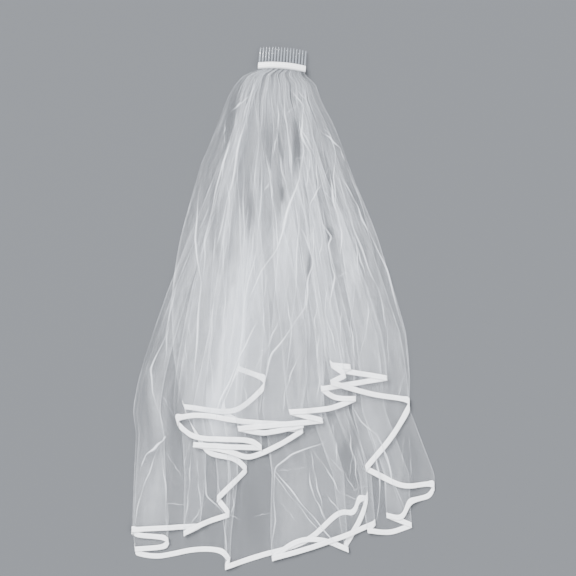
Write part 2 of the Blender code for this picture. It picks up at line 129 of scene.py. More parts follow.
# Left and right edge of the whole veil at each distance up the surface
OUTLINE = (
    # y, left, right
    (382, -41, 34),
    (376, -58, 35),
    (372, -66, 38),
    (358, -79, 54),
    (344, -87, 59),
    (334, -91, 62),
    (301, -103, 80),
    (262, -117, 95),
    (234, -129, 104),
    (198, -140, 117),
    (150, -155, 137),
    (112, -168, 151),
    (71, -180, 163),
    (30, -192, 176),
    (-37, -209, 196),
    (-80, -220, 202),
    (-117, -228, 205),
    (-150, -233, 206),
    (-165, -234, 208),
    (-185, -231, 215),
    (-200, -229, 220),
    (-220, -230, 227),
    (-264, -233, 242),
    (-300, -236, 241),
    (-360, -242, 241),
    (-440, -242, 241),
)

# Edge of the lower tier from the left side to the right. At a fold the cloth turns back, at a bend only its
# edge turns. comb and mid place the fold line across the veil, 0 to 1, at the comb and half way down.
LOWER_HEM = (
    # name, turn, x, y, comb, mid
    ("inner_left", "fold", -159, -160, 0.0, 0.0),
    ("step_1", "bend", -127, -227, None, None),
    ("step_2", "bend", -82, -243, None, None),
    ("step_3", "fold", -60, -262, 0.105, 0.33),
    ("step_4", "fold", -108, -309, 0.065, 0.20),
    ("step_5", "fold", -88, -333, 0.175, 0.27),
    ("foot_1", "bend", -127, -346, None, None),
    ("foot_2", "fold", -161, -363, 0.135, 0.13),
    ("foot_3", "fold", -135, -351, 0.245, 0.24),
    ("foot_3_turn", "bend", -236, -356, None, None),
    ("outer_left_1", "fold", -242, -361, 0.205, 0.01),
    ("outer_left_1_turn", "bend", -232, -365, None, None),
    ("outer_left_2_turn", "bend", -196, -369, None, None),
    ("outer_left_2", "fold", -184, -376, 0.31, 0.10),
    ("outer_left_3_turn", "bend", -194, -384, None, None),
    ("outer_left_3", "fold", -239, -388, 0.27, 0.03),
    ("base_turn", "bend", -234, -395, None, None),
    ("base_1", "bend", -199, -399, None, None),
    ("base_2", "bend", -143, -389, None, None),
    ("base_3", "bend", -105, -391, None, None),
    ("base_4", "fold", -87, -409, 0.41, 0.36),
    ("base_5", "fold", -95, -417, 0.365, 0.31),
    ("base_6", "bend", -36, -398, None, None),
    ("base_7", "bend", 8, -386, None, None),
    ("base_8", "bend", 46, -368, None, None),
    ("base_9", "bend", 87, -332, None, None),
    ("base_10", "bend", 111, -329, None, None),
    ("base_11", "bend", 121, -310, None, None),
    ("base_12", "fold", 134, -306, 0.62, 0.70),
    ("right_1", "bend", 124, -339, None, None),
    ("right_2", "fold", 97, -387, 0.565, 0.58),
    ("right_3", "fold", 103, -389, 0.67, 0.66),
    ("right_4", "bend", 60, -374, None, None),
    ("right_5", "bend", 22, -376, None, None),
    ("right_6", "fold", -20, -403, 0.63, 0.47),
    ("right_7", "bend", 41, -386, None, None),
    ("right_8", "bend", 100, -365, None, None),
    ("right_9", "fold", 146, -346, 0.76, 0.74),
    ("right_10", "fold", 133, -358, 0.715, 0.68),
    ("right_11", "bend", 169, -361, None, None),
    ("right_12", "fold", 204, -350, 0.84, 0.87),
    ("right_13", "fold", 163, -334, 0.795, 0.79),
    ("right_14", "bend", 188, -336, None, None),
    ("right_15", "bend", 204, -312, None, None),
    ("right_15_turn", "bend", 231, -303, None, None),
    ("right_16", "fold", 240, -291, 0.92, 0.96),
    ("right_16_turn", "bend", 231, -284, None, None),
    ("right_17", "bend", 185, -285, None, None),
    ("right_18", "fold", 130, -259, 0.875, 0.80),
    ("right_19", "bend", 169, -213, None, None),
    ("right_19_turn", "bend", 196, -172, None, None),
    ("outer_right", "fold", 201, -157, 1.0, 1.0),
)

# Edge of the upper tier from the left side to the right
UPPER_HEM = (
    # name, turn, x, y, comb, mid
    ("inner_left", "fold", -159, -160, 0.0, 0.0),
    ("tuck_1", "bend", -82, -166, None, None),
    ("tuck_1_turn", "bend", -38, -136, None, None),
    ("tuck_2", "fold", -32, -123, 0.12, 0.40),
    ("tuck_2_turn", "bend", -39, -113, None, None),
    ("tuck_3", "fold", -74, -99, 0.07, 0.29),
    ("tuck_4", "bend", -90, -134, None, None),
    ("tuck_5", "bend", -100, -164, None, None),
    ("tuck_6", "bend", -66, -185, None, None),
    ("tuck_7", "bend", -10, -193, None, None),
    ("tuck_8", "fold", 30, -198, 0.20, 0.55),
    ("tuck_9", "bend", -10, -222, None, None),
    ("tuck_10", "bend", -55, -240, None, None),
    ("tuck_11", "bend", -92, -230, None, None),
    ("roll_1", "fold", -146, -220, 0.155, 0.22),
    ("roll_2", "fold", -36, -226, 0.30, 0.42),
    ("roll_3", "bend", -63, -213, None, None),
    ("roll_4", "bend", -135, -209, None, None),
    ("roll_4_turn", "bend", -162, -196, None, None),
    ("roll_5", "fold", -170, -187, 0.255, 0.13),
    ("roll_5_turn", "bend", -165, -177, None, None),
    ("roll_6", "bend", -127, -173, None, None),
    ("roll_7", "bend", -55, -184, None, None),
    ("roll_8", "fold", 31, -189, 0.42, 0.60),
    ("front_1", "bend", -31, -201, None, None),
    ("front_2", "fold", -73, -194, 0.375, 0.35),
    ("front_3", "fold", 62, -182, 0.53, 0.66),
    ("front_4", "fold", 9, -168, 0.485, 0.47),
    ("front_5", "bend", 73, -162, None, None),
    ("front_6", "fold", 114, -147, 0.64, 0.74),
    ("cascade_1", "bend", 81, -145, None, None),
    ("cascade_2", "fold", 58, -131, 0.59, 0.60),
    ("cascade_3", "bend", 108, -123, None, None),
    ("cascade_4", "fold", 164, -114, 0.73, 0.85),
    ("cascade_5", "fold", 92, -102, 0.685, 0.68),
    ("cascade_6", "fold", 106, -96, 0.81, 0.73),
    ("cascade_7", "fold", 74, -93, 0.765, 0.64),
    ("cascade_8", "fold", 98, -109, 0.89, 0.72),
    ("cascade_9", "fold", 74, -121, 0.845, 0.66),
    ("cascade_10", "bend", 137, -139, None, None),
    ("cascade_10_turn", "bend", 190, -148, None, None),
    ("outer_right", "fold", 201, -157, 1.0, 1.0),
)

# Flat sizes are measured on the laid cloth: its length along the hem by its longest drop, and its area
TIERS = (
    # tier, hem, first panel laid, gathers, height at the comb, flat size, flat area, ribbon's length
    ("lower", LOWER_HEM, "outer_left_3", 62, COMB_HEIGHT - TIER_OFFSET, (1.95, 0.83), 0.87, 1.92),
    ("upper", UPPER_HEM, "tuck_3", 58, COMB_HEIGHT + TIER_OFFSET, (1.99, 0.64), 0.73, 1.94),
)

# How the gathers drift along the ring, and how deep they stand at most
GATHER_DRIFT = (
    # rate, size, offset
    (1.7, 0.9, 0.3),
    (4.3, 0.5, 1.9),
    (9.1, 0.25, 4.0),
)
GATHER_DEPTH = 0.24
DEEPEST_GATHER = 1.3 * MM

# Streaks of closer net along the gathers
STREAKS = (
    # streaks a gather, strength, sharpness, offset
    (1.0, 3.4, 9, 0.0),
    (2.37, 2.8, 10, 0.3),
    (0.43, 1.8, 5, 0.7),
)
FOLD_WHITENESS = 3.4
FOLD_COLUMNS = 4
THINNEST_AT_COMB = 0.5

# Creases: thin pinched folds of the net that stand up and look whiter. Width and height are the largest
# along each, in millimetres. The last rows of each group stand for finer ones.
CREASES = (
    # tier, width, height, points
    ("upper", 5.0, 2.2, ((-54, 339), (-72, 325), (-87, 314))),
    ("upper", 6.5, 2.4, ((-46, 371), (-57, 320), (-70, 267), (-84, 195), (-92, 165), (-108, 96))),
    ("upper", 3.2, 1.6, ((-65, 267), (-65, 168), (-64, 99), (-65, 46), (-62, -40))),
    ("upper", 4.5, 1.8, ((-38, 275), (-35, 210), (-38, 168), (-43, 99), (-57, 43), (-70, -30))),
    ("upper", 4.0, 1.6, ((-33, 267), (-24, 214), (-14, 141), (-10, 107), (-14, 40))),
    ("upper", 3.5, 1.5, ((-14, 290), (-7, 234), (9, 168))),
    ("upper", 7.0, 2.8, ((26, 281), (31, 250), (23, 206), (9, 168),
                         (-2, 126), (-14, 91), (-38, 58), (-57, 14))),
    ("upper", 4.0, 1.8, ((23, 202), (23, 141), (20, 85), (16, 14), (8, -60), (2, -118))),
    ("upper", 4.5, 1.8, ((-2, 352), (1, 306), (9, 251), (14, 195))),
    ("upper", 3.5, 1.4, ((23, 325), (6, 314), (2, 304))),
    ("upper", 6.0, 2.4, ((9, 350), (31, 322), (26, 278), (42, 245), (47, 210))),
    ("upper", 5.0, 2.2, ((50, 290), (73, 272), (89, 256), (97, 234))),
    ("upper", 6.0, 2.4, ((70, 234), (75, 195), (79, 168), (86, 141), (92, 123), (88, 80))),
    ("upper", 5.5, 2.6, ((50, 149), (66, 126), (76, 114), (70, 102),
                         (73, 74), (81, 53), (75, 30), (70, -10))),
    ("upper", 4.5, 2.0, ((26, 130), (39, 99), (45, 72), (36, 38), (35, 0), (32, -40))),
    ("upper", 5.0, 2.0, ((82, 229), (97, 168), (116, 113), (135, 63), (150, 30), (163, -30))),
    ("upper", 3.0, 1.8, ((-17, 212), (-32, 188), (-39, 171))),
    ("upper", 4.0, 1.8, ((-12, 342), (-9, 295), (-13, 270), (-20, 236))),
    ("upper", 4.0, 2.2, ((26, 314), (23, 287), (37, 270), (50, 237), (53, 198), (48, 160))),
    ("upper", 4.0, 2.0, ((53, 292), (72, 281), (81, 254), (79, 210), (81, 171), (92, 127))),
    ("upper", 3.6, 2.2, ((71, 226), (59, 198), (42, 171), (39, 135))),
    ("upper", 2.8, 2.0, ((59, 193), (72, 176), (78, 171))),
    ("upper", 4.0, 2.0, ((50, 152), (45, 116), (46, 80), (37, 47), (35, 17))),
    ("upper", 3.0, 1.8, ((23, 132), (37, 110), (45, 83))),
    ("upper", 5.0, 2.2, ((89, 212), (108, 182), (130, 130), (144, 88))),
    ("upper", 4.0, 1.8, ((103, 130), (119, 88), (130, 47), (133, 17))),
    ("upper", 3.6, 1.6, ((-98, 218), (-87, 182), (-90, 143), (-85, 116))),
    ("upper", 3.6, 1.8, ((42, 248), (37, 212), (34, 185))),
    ("upper", 3.6, 1.6, ((-24, 237), (-21, 198), (-18, 154))),
    ("upper", 3.2, 1.6, ((-5, 171), (-1, 121), (-2, 105))),
    ("upper", 4.0, 2.0, ((-76, 314), (-78, 292), (-90, 259), (-102, 198), (-115, 149))),
    ("upper", 3.0, 1.6, ((12, 355), (37, 331), (42, 309))),
    ("upper", 3.0, 1.6, ((-52, 350), (-66, 300), (-80, 262), (-88, 232))),
    ("upper", 2.6, 1.6, ((14, 238), (28, 240), (40, 238))),
    ("lower", 5.0, 1.8, ((97, 234), (119, 179), (135, 126), (163, 63), (177, 14), (192, -45), (201, -120))),
    ("lower", 3.0, 1.4, ((-94, 306), (-97, 272), (-93, 261))),
    ("lower", 5.0, 2.0, ((-76, 310), (-82, 272), (-98, 234), (-113, 168),
                         (-126, 113), (-126, 85), (-132, 30))),
    ("upper", 6.0, 2.4, ((-136, 200), (-142, 113), (-133, 43), (-135, 14),
                         (-137, -26), (-141, -71), (-146, -140))),
    ("lower", 5.0, 2.0, ((-171, 43), (-190, -43), (-213, -96), (-211, -130), (-194, -182), (-189, -200))),
    ("lower", 7.0, 3.0, ((-196, -212), (-189, -200), (-191, -206),
                         (-196, -212), (-222, -234), (-229, -252))),
    ("lower", 4.0, 1.6, ((-198, -213), (-187, -304), (-185, -366))),
    ("lower", 4.0, 1.6, ((-198, -212), (-232, -304), (-240, -355))),
    ("lower", 2.4, 1.4, ((-192, -224), (-177, -247), (-162, -269))),
    ("lower", 3.6, 1.6, ((-178, 33), (-187, -46), (-192, -110))),
    ("lower", 2.6, 1.2, ((-152, 8), (-151, -43), (-155, -75))),
    ("lower", 2.6, 1.2, ((-158, -26), (-156, -130))),
    ("upper", 3.2, 1.6, ((-58, -71), (-65, -120), (-55, -162))),
    ("upper", 6.0, 2.4, ((-38, -9), (-69, -71), (-79, -96), (-104, -151), (-114, -200))),
    ("upper", 5.5, 2.4, ((35, 43), (32, 2), (11, -30), (-20, -71), (-34, -123), (-41, -172))),
    ("upper", 3.6, 1.6, ((4, 16), (-24, -54), (-50, -100))),
    ("upper", 4.0, 1.8, ((26, -61), (1, -130), (-3, -172))),
    ("upper", 4.0, 1.8, ((56, -26), (51, -78), (56, -109), (49, -158))),
    ("upper", 4.0, 1.8, ((70, 43), (63, -2), (77, -47), (84, -78), (79, -92))),
    ("upper", 4.0, 1.8, ((112, 40), (105, -26), (112, -78), (119, -92), (126, -123))),
    ("upper", 3.6, 1.6, ((134, 43), (132, -26), (118, -81))),
    ("upper", 3.2, 1.4, ((150, 43), (164, -43), (166, -96))),
    ("lower", 2.6, 1.2, ((191, -102), (185, -130), (178, -141))),
    ("lower", 5.0, 2.2, ((105, -151), (122, -179), (146, -200), (164, -234), (170, -269), (188, -325))),
    ("lower", 5.0, 2.2, ((129, -179), (146, -234), (153, -286), (147, -339))),
    ("lower", 5.0, 2.0, ((90, -162), (63, -214), (42, -221), (11, -231),
                         (-14, -252), (-18, -304), (-14, -339), (-22, -384))),
    ("lower", 4.5, 3.0, ((-34, -245), (-18, -254), (-6, -269), (42, -328), (84, -377), (98, -387))),
    ("lower", 3.0, 1.8, ((-32, -250), (-19, -260), (-11, -272), (36, -331), (78, -381))),
    ("lower", 4.0, 1.8, ((42, -224), (49, -269), (66, -338))),
    ("lower", 4.0, 1.8, ((42, -221), (77, -269), (84, -290), (122, -307))),
    ("lower", 3.6, 1.6, ((60, -286), (84, -318), (112, -332))),
    ("lower", 5.0, 2.0, ((39, -251), (42, -286), (70, -346))),
    ("lower", 2.6, 1.2, ((-10, -304), (25, -346))),
    ("lower", 3.6, 1.6, ((75, -179), (84, -227), (80, -262))),
    ("lower", 3.6, 1.6, ((101, -172), (108, -234), (103, -269))),
    ("lower", 4.0, 1.8, ((-130, -227), (-124, -297), (-97, -325), (-91, -408))),
    ("lower", 3.6, 1.6, ((-149, -227), (-152, -286), (-159, -349))),
    ("lower", 3.6, 1.6, ((-83, -262), (-81, -314), (-90, -342))),
    ("lower", 2.8, 1.4, ((-121, -300), (-142, -332), (-159, -359))),
    ("lower", 2.6, 1.0, ((-211, -309), (-170, -311), (-128, -310))),
    ("lower", 2.4, 1.0, ((-20, -259), (10, -256), (39, -252))),
    ("lower", 2.4, 1.0, ((105, -292), (120, -284), (136, -281))),
    ("lower", 2.6, 1.0, ((-104, -318), (-84, -329), (-65, -339))),
    ("lower", 2.6, 1.0, ((-51, -333), (-36, -328), (-20, -325))),
    ("lower", 2.4, 1.0, ((-204, -123), (-185, -155), (-173, -176))),
    ("lower", 2.8, 1.2, ((-163, -259), (-156, -231), (-149, -206))),
    ("lower", 2.4, 1.0, ((191, -200), (188, -226), (188, -252))),
    ("lower", 2.4, 1.0, ((198, -200), (202, -245), (200, -286))),
    ("upper", 3.0, 1.2, ((77, 43), (92, 56), (110, 62))),
    ("upper", 3.4, 1.6, ((-110, 60), (-112, 10), (-118, -60), (-112, -150))),
    ("upper", 3.4, 1.6, ((-92, 150), (-98, 80), (-94, 10), (-99, -50))),
    ("upper", 3.0, 1.6, ((-28, 60), (-34, 0), (-30, -60))),
    ("upper", 3.2, 1.8, ((8, 60), (2, 20), (10, -20), (4, -60))),
    ("upper", 3.2, 1.6, ((54, 30), (48, -20), (52, -70))),
    ("upper", 3.4, 1.8, ((92, 20), (88, -40), (95, -90))),
    ("upper", 3.0, 1.6, ((-46, 140), (-52, 90), (-44, 40))),
    ("upper", 3.0, 1.6, ((60, 170), (64, 130), (56, 90), (60, 50))),
    ("upper", 3.4, 1.8, ((100, 170), (112, 120), (118, 60), (122, 10))),
    ("lower", 3.0, 1.6, ((96, -190), (112, -240), (118, -300), (116, -330))),
    ("lower", 3.0, 1.6, ((136, -170), (160, -230), (180, -290), (196, -332))),
    ("lower", 3.0, 1.4, ((70, -235), (96, -262), (118, -300))),
    ("lower", 3.0, 1.4, ((-140, -230), (-136, -290), (-130, -340))),
    ("lower", 2.8, 1.4, ((-108, -250), (-104, -290), (-112, -330))),
)
CREASE_STEP = 4 * MM
CREASE_LIFT = 0.5 * MM
CREASE_WANDER = 0.9 * MM
CREASE_WHITENESS = 15.0
CREASE_PROFILE = (
    # share of the half width, share of the height
    (-1.0, 0.0),
    (-0.6, 0.22),
    (-0.25, 0.85),
    (0.0, 1.0),
    (0.25, 0.85),
    (0.6, 0.22),
    (1.0, 0.0),
)

# Places where the net is bunched together or spread thin, with the reach to either side of the line
BUNCHES = (
    # change, reach, points
    (-1.00, 7, ((22, 320), (20, 285), (20, 250), (15, 190))),
    (-1.00, 5, ((60, 250), (70, 215), (74, 195), (76, 168))),
    (-1.00, 4, ((69, 132), (74, 122), (71, 106))),
    (-1.00, 4, ((39, 104), (41, 76), (37, 40))),
    (-0.95, 8, ((-72, 358), (-80, 338), (-87, 300), (-90, 262))),
    (-0.80, 4, ((-12, 290), (-10, 268), (-6, 240))),
    (-0.80, 4, ((8, 350), (12, 335), (22, 325))),
    (-0.70, 4, ((-3, 196), (-3, 180), (0, 168))),
    (-0.55, 8, ((-30, 340), (-26, 280), (-20, 230))),
    (-0.50, 10, ((-100, 180), (-112, 120), (-100, 60))),
    (-0.50, 9, ((-50, 180), (-52, 110), (-50, 60))),
    (-0.50, 7, ((30, -20), (36, -70), (30, -140))),
    (-0.45, 9, ((0, -30), (10, -90), (14, -150))),
    (1.20, 22, ((-14, 378), (-22, 350), (-24, 315))),
    (0.80, 12, ((-38, 352), (-32, 320), (-28, 285))),
    (-0.55, 13, ((-62, 262), (-62, 190), (-54, 120))),
    (-0.45, 10, ((-104, 250), (-112, 190), (-118, 140))),
    (-0.40, 9, ((96, 236), (112, 180), (126, 140))),
    (-0.45, 8, ((-6, 232), (-8, 180), (-18, 120))),
    (0.80, 13, ((16, 150), (6, 90), (-8, 30))),
    (0.80, 12, ((24, 372), (34, 345), (46, 310))),
    (1.60, 22, ((-40, 120), (-62, 20), (-74, -60), (-92, -150), (-100, -190))),
    (0.90, 12, ((20, 340), (50, 260), (60, 200))),
    (2.00, 12, ((-112, -130), (-114, -225))),
    (1.10, 12, ((-70, 60), (-95, -60), (-106, -150))),
    (0.90, 12, ((30, 240), (8, 150), (-20, 70), (-52, 10))),
    (0.90, 14, ((75, 250), (95, 150), (108, 60), (92, -10))),
    (-0.75, 16, ((-190, 20), (-214, -60), (-226, -150), (-226, -240))),
    (-0.70, 12, ((-165, -100), (-172, -170), (-172, -250))),
    (1.30, 8, ((-212, -96), (-208, -140), (-194, -200))),
    (0.80, 22, ((-200, -240), (-208, -300), (-212, -350))),
    (0.80, 26, ((16, -262), (22, -310), (14, -370))),
    (1.00, 12, ((112, -150), (140, -210), (158, -262), (186, -325))),
    (-0.60, 14, ((-55, -280), (-50, -340), (-45, -370))),
    (-0.80, 14, ((118, -180), (100, -230), (112, -290))),
    (-0.50, 14, ((190, -190), (205, -240), (205, -280))),
)

# Pile of layers, on cells that fan out with the veil
CELLS_ACROSS = 320
CELL_LENGTH = 2.5 * MM
PILE_BOTTOM = -450 * MM
PILE_TOP = 400 * MM
PILE_MARGIN = 0.06
EASE_ACROSS = 7
EASE_LENGTH = 5

# Net: its cells a metre, how uneven they are, and what one layer of cloth hides
NET_SCALE = 780.0
NET_RANDOMNESS = 0.62
THREAD_REACH = 0.10
THREAD_ALPHA = 0.045
CELL_ALPHA = 0.015

# Colours
TULLE_COLOUR = (0.88, 0.92, 0.985)
SATIN_COLOUR = (0.93, 0.945, 0.97)
STITCH_COLOUR = (0.80, 0.83, 0.87)
PLASTIC_COLOUR = (0.42, 0.46, 0.52)
FLOOR_COLOUR = (0.086, 0.091, 0.100)

# View and light
LIGHTS = (
    # name, power, spread, tilt, turn
    ("key", 8.8, 35, 48, 220),
    ("fill", 2.6, 60, 40, 55),
)
ROOM_COLOUR = (0.95, 0.97, 1.0)
ROOM_POWER = 1.2
MOST_LAYERS_SEEN = 64
VIEW_WIDTH = 921.6 * MM
VIEW_CENTRE = (5.6 * MM, 33.6 * MM)
LENS = 85.0
SENSOR = 36.0
FLOOR_SIZE = 6.0
FLOOR_DROP = 0.3 * MM


def outline_at(y):
    """Left and right edge of the veil at this distance up the surface."""
    rows = np.array(OUTLINE[::-1], float) * MM
    return np.interp(y, rows[:, 0], rows[:, 1]), np.interp(y, rows[:, 0], rows[:, 2])


def arch_height(along):
    """Height of the comb above its ends, at this distance from its middle."""
    share = np.clip(along / (WRAP_WIDTH / 2), -1.0, 1.0)
    return COMB_ARCH * (1.0 - share ** 2)


def smooth(share):
    """Soft step from 0 to 1."""
    share = np.clip(share, 0.0, 1.0)
    return share ** 2 * (3 - 2 * share)


def lift_at(x, y):
    """Rise of the cloth beside the comb, up to the comb's arch."""
    return arch_height(x - COMB_CENTRE[0]) * (1 - smooth((COMB_CENTRE[1] - y) / ARCH_REACH))


def comb_point(along, up):
    """Point of the comb's own drawing, set down in the veil's."""
    up = up + COMB_BOW * (1.0 - (along / (WRAP_WIDTH / 2)) ** 2)
    x = COMB_CENTRE[0] + along * math.cos(COMB_TURN) - up * math.sin(COMB_TURN)
    y = COMB_CENTRE[1] + along * math.sin(COMB_TURN) + up * math.cos(COMB_TURN)
    return x, y


def row_downs():
    """How far down each row lies, crowded towards the comb."""
    return np.linspace(0, 1, ROW_COUNT) ** ROW_CROWDING


def path_points(comb, mid, hem_x, hem_y, down):
    """Lines from the gathered edge, down 0, to the hem, down 1. Arrays of columns by rows."""
    start_x, start_y = comb_point((comb - 0.5) * GATHER_WIDTH, np.full_like(comb, -WRAP_HEIGHT * 0.3))
    start_x, start_y = start_x[:, None], start_y[:, None]
    hem_x, hem_y = hem_x[:, None], hem_y[:, None]
    y = start_y + (hem_y - start_y) * down
    left, right = outline_at(start_y)
    comb_share = (start_x - left) / (right - left)
    left, right = outline_at(hem_y)
    hem_share = (hem_x - left) / (right - left)
    share = (comb_share * (1 - down) * (1 - 2 * down) + mid[:, None] * 4 * down * (1 - down)
             + hem_share * down * (2 * down - 1))
    left, right = outline_at(y)
    return left + (right - left) * share, y


def hem_curve(points, spacing):
    """Smooth curve through the points of one stretch of hem, at even steps."""
    points = np.array(points, float)
    if len(points) == 2:
        dense = points[0] + np.linspace(0, 1, CURVE_STEPS + 1)[:, None] * (points[1] - points[0])
    else:
        ends = np.vstack([2 * points[0] - points[1], points, 2 * points[-1] - points[-2]])
        t = np.linspace(0, 1, CURVE_STEPS + 1)[:-1, None]
        pieces = []
        for p, q, r, s in zip(ends, ends[1:], ends[2:], ends[3:]):
            pieces.append(0.5 * (2 * q + (r - p) * t + (2 * p - 5 * q + 4 * r - s) * t ** 2
                                 + (3 * q - p - 3 * r + s) * t ** 3))
        dense = np.vstack(pieces + [points[-1:]])
    length = np.concatenate([[0.0], np.cumsum(np.linalg.norm(np.diff(dense, axis=0), axis=1))])
    count = max(4, round(length[-1] / spacing))
    wanted = np.linspace(0, length[-1], count + 1)
    curve = np.column_stack([np.interp(wanted, length, dense[:, k]) for k in range(2)])
    return curve, wanted / length[-1], length[-1]


def split_panels(hem):
    """Panels between the folds of a hem table, with where each starts along the ring."""
    folds = [k for k, row in enumerate(hem) if row[1] == "fold"]
    panels = []
    travelled = 0.0
    for first, last in zip(folds, folds[1:]):
        rows = hem[first:last + 1]
        hem_points = [(row[2] * MM, row[3] * MM) for row in rows]
        curve, shares, length = hem_curve(hem_points, COLUMN_SPACING)
        panels.append({
            "name": rows[0][0], "hem": curve, "share": shares, "start": travelled, "length": length,
            "comb": rows[0][4] + (rows[-1][4] - rows[0][4]) * shares,
            "mid": rows[0][5] + (rows[-1][5] - rows[0][5]) * shares,
        })
        travelled += length
    return panels


class Pile:
    """Height of the cloth laid so far, on cells that fan out with the veil from the comb to the hem."""

    def __init__(self):
        share = np.linspace(-PILE_MARGIN, 1 + PILE_MARGIN, CELLS_ACROSS)
        self.y = np.arange(PILE_BOTTOM, PILE_TOP, CELL_LENGTH)
        left, right = outline_at(self.y)
        self.x = left + share[:, None] * (right - left)
        self.layers = np.zeros(self.x.shape)

    def place(self, x, y):
        """Column and row of the cells, as fractions, under points of the plan."""
        left, right = outline_at(y)
        share = (x - left) / (right - left)
        across = (share + PILE_MARGIN) / (1 + 2 * PILE_MARGIN) * (CELLS_ACROSS - 1)
        return across, (y - PILE_BOTTOM) / CELL_LENGTH

    def height_at(self, x, y):
        """Height of the layers already there."""
        across, along = self.place(x, y)
        i = np.clip(across.astype(int), 0, CELLS_ACROSS - 2)
        j = np.clip(along.astype(int), 0, len(self.y) - 2)
        u = across - i
        v = along - j
        low = self.layers[i, j] * (1 - u) + self.layers[i + 1, j] * u
        high = self.layers[i, j + 1] * (1 - u) + self.layers[i + 1, j + 1] * u
        return low * (1 - v) + high * v

    def cover(self, x, y):
        """Add one layer over the cells under a panel, easing out round them."""
        across, along = self.place(x, y)
        covered = np.zeros(self.x.shape)
        for u in np.linspace(0, 1, 5):
            side = across[:-1] * (1 - u) + across[1:] * u
            side_along = along[:-1] * (1 - u) + along[1:] * u
            for v in np.linspace(0, 1, 6):
                i = np.rint(side[:, :-1] * (1 - v) + side[:, 1:] * v).astype(int)
                j = np.rint(side_along[:, :-1] * (1 - v) + side_along[:, 1:] * v).astype(int)
                covered[np.clip(i, 0, CELLS_ACROSS - 1), np.clip(j, 0, len(self.y) - 1)] = 1.0
        for axis, reach in ((0, EASE_ACROSS), (1, EASE_LENGTH)):
            covered = np.max([np.roll(covered, k, axis) for k in range(-reach, reach + 1)], axis=0)
            half = reach // 2
            for _ in range(2):
                covered = np.mean([np.roll(covered, k, axis) for k in range(-half, half + 1)], axis=0)
        share = np.clip((COMB_CENTRE[1] - self.y) / ARCH_REACH, 0.0, 1.0)
        growth = LAYER_SPACING_AT_HEM - LAYER_SPACING_AT_COMB
        self.layers += covered * (LAYER_SPACING_AT_COMB + growth * share)


def lay_order(panels, first_name):
    """The first panel, those to its left outward, then those to its right outward."""
    first = [panel["name"] for panel in panels].index(first_name)
    return [first] + list(range(first - 1, -1, -1)) + list(range(first + 1, len(panels)))


def seam_downs(panel, path_length):
    """How far down each column the ribbon's inner edge lies, evened out along the hem."""
    hem = panel["hem"]
    tangent = np.gradient(hem, axis=0)
    tangent /= np.linalg.norm(tangent, axis=1, keepdims=True)
    x, y = path_points(panel["comb"], panel["mid"], hem[:, 0], hem[:, 1], np.array([[0.96, 1.0]]))
    column = np.column_stack([x[:, 1] - x[:, 0], y[:, 1] - y[:, 0]])
    column /= np.linalg.norm(column, axis=1, keepdims=True)
    slant = np.abs(tangent[:, 0] * column[:, 1] - tangent[:, 1] * column[:, 0])
    reach = RIBBON_WIDTH / np.maximum(slant, LEAST_SLANT)
    padded = np.pad(reach, 2, mode="edge")
    reach = np.mean([padded[k:k + len(reach)] for k in range(5)], axis=0)
    return 1.0 - reach / path_length


def lay_tier(hem_table, first_name, gathers, base, pile):
    """Points of every panel of a tier, columns by rows, with the ribbon's inner edge of each column."""
    panels = split_panels(hem_table)
    ring = panels[-1]["start"] + panels[-1]["length"]
    down = row_downs()
    for number in lay_order(panels, first_name):
        panel = panels[number]
        hem = panel["hem"]
        rows = np.broadcast_to(down, (len(hem), ROW_COUNT)).copy()
        x, y = path_points(panel["comb"], panel["mid"], hem[:, 0], hem[:, 1], rows)
        direction = 1.0 if hem[-1, 0] > hem[0, 0] else -1.0
        x[0] += direction * FOLD_RADIUS
        x[-1] -= direction * FOLD_RADIUS
        path_length = np.linalg.norm(np.dstack([np.diff(x), np.diff(y)]), axis=2).sum(axis=1)
        z = CLOTH_BASE + pile.height_at(x, y)
        pile.cover(x, y)
        # Near the comb the layers are pressed together under the band
        share = smooth(rows / GATHER_REACH)
        z = base * (1 - share) + z * share
        # Gathers stand as soft waves along the ring, no deeper than their own width allows
        along = (panel["start"] + panel["share"] * panel["length"]) / ring
        phase = gathers * along
        for rate, size, offset in GATHER_DRIFT:
            phase = phase + size * np.sin(TAU * rate * along + offset)
        step = np.abs(np.gradient(x, axis=0)) + 1e-6
        turns = np.abs(np.gradient(phase))[:, None] + 1e-3
        width = step / turns
        swing = np.sin(TAU * (along * 5.3 + 0.2))[:, None] * np.cos(3.1 * rows + 9 * along[:, None])
        uneven = 0.75 + 0.25 * swing
        depth = np.minimum(GATHER_DEPTH * width, DEEPEST_GATHER) * uneven
        fade = 1 - 0.75 * smooth((rows - 0.55) / 0.45)
        edge = smooth(panel["share"] * 6) * smooth((1 - panel["share"]) * 6)
        z += depth * fade * edge[:, None] * np.sin(TAU * phase)[:, None]
        z += lift_at(x, y)
        panel["points"] = np.dstack([x, y, z])
        panel["inner"] = seam_downs(panel, path_length)
        panel["ring"] = along
    return panels


def join_tier(panels):
    """One grid of columns across a whole tier, with a rounded turn at every fold."""
    points = [panels[0]["points"]]
    inner = [panels[0]["inner"]]
    ring = [panels[0]["ring"]]
    folds = []
    count = len(points[0])
    for before, after in zip(panels, panels[1:]):
        folds.append(count)
        count += 1 + len(after["points"])
        outward = 1.0 if before["hem"][-1, 0] > before["hem"][0, 0] else -1.0
        tip = (before["points"][-1] + after["points"][0]) / 2
        tip[:, 0] += outward * FOLD_RADIUS
        level = (before["inner"][-1] + after["inner"][0]) / 2
        points += [tip[None], after["points"]]
        inner += [[level], after["inner"]]
        ring += [[after["ring"][0]], after["ring"]]
    folds = [0] + folds + [count - 1]
    return np.vstack(points), np.concatenate(inner), np.concatenate(ring), folds


def grid_faces(columns, rows):
    """Corner numbers of the faces of a grid."""
    index = np.arange(columns * rows).reshape(columns, rows)
    corners = [index[:-1, :-1], index[:-1, 1:], index[1:, 1:], index[1:, :-1]]
    return np.dstack(corners).reshape(-1, 4)


